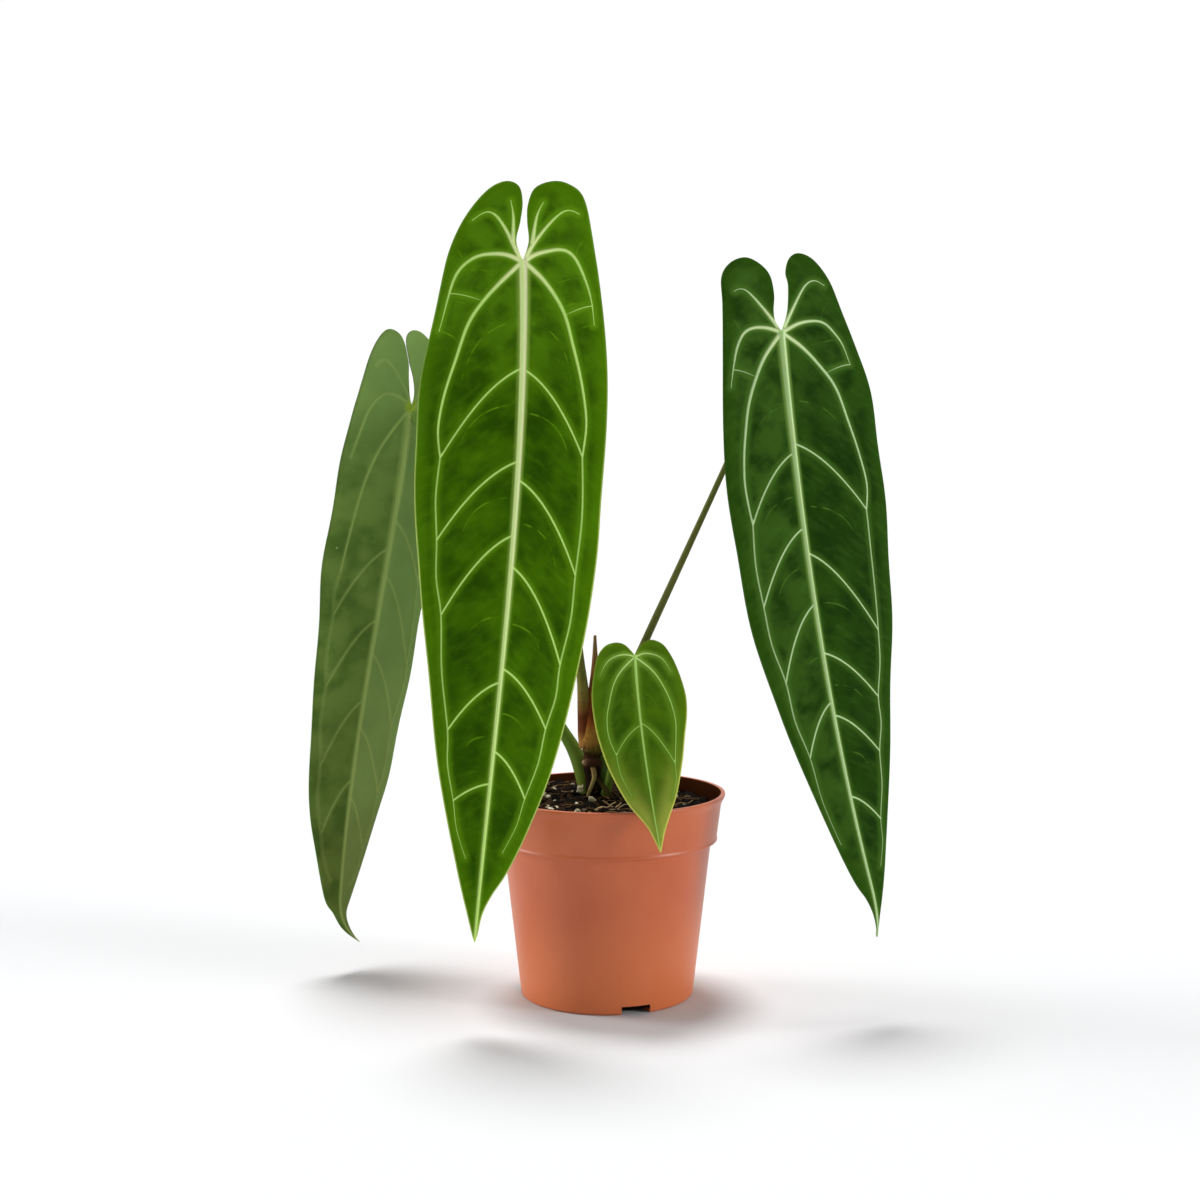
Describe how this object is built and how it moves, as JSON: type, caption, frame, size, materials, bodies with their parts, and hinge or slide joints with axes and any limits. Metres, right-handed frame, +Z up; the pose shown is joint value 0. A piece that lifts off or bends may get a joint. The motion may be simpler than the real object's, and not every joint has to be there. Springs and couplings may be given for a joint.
{
  "type": "potted queen anthurium",
  "caption": "House plant with long hanging heart-based leaves, raised pale veins and slender stalks, rooted in soil in a round nursery pot.",
  "frame": {"origin": "centre of the pot's underside, on the surface the pot stands on", "axes": "+Z up, front of the plant at -Y, +X to the right seen from the front"},
  "size_m": [0.299, 0.1523, 0.4034],
  "materials": {
    "pot": "terracotta-coloured moulded plastic, satin",
    "soil": "moist bark and peat potting mix with perlite",
    "cane": "rough brown cane with leaf scars",
    "sheath": "dry papery brown sheath",
    "petiole": "smooth olive green, flecked brown",
    "root": "matt tan root skin",
    "blade_front": "velvety fresh green leaf with pale green veins",
    "blade_right": "velvety dark green leaf with pale green veins",
    "blade_left": "matt grey-green underside, velvety green face",
    "blade_small": "young green leaf with a yellow-green margin"
  },
  "bodies": {
    "root": {"pot": "pot", "soil": "soil", "cane": "cane", "sheath": "sheath", "petiole_front": "petiole", "petiole_right": "petiole", "petiole_left": "petiole", "petiole_small": "petiole", "aerial_root_front": "root", "aerial_root_right": "root", "aerial_root_back": "root", "blade_front": "blade_front", "blade_right": "blade_right", "blade_left": "blade_left", "blade_small": "blade_small"}
  },
  "joints": []
}
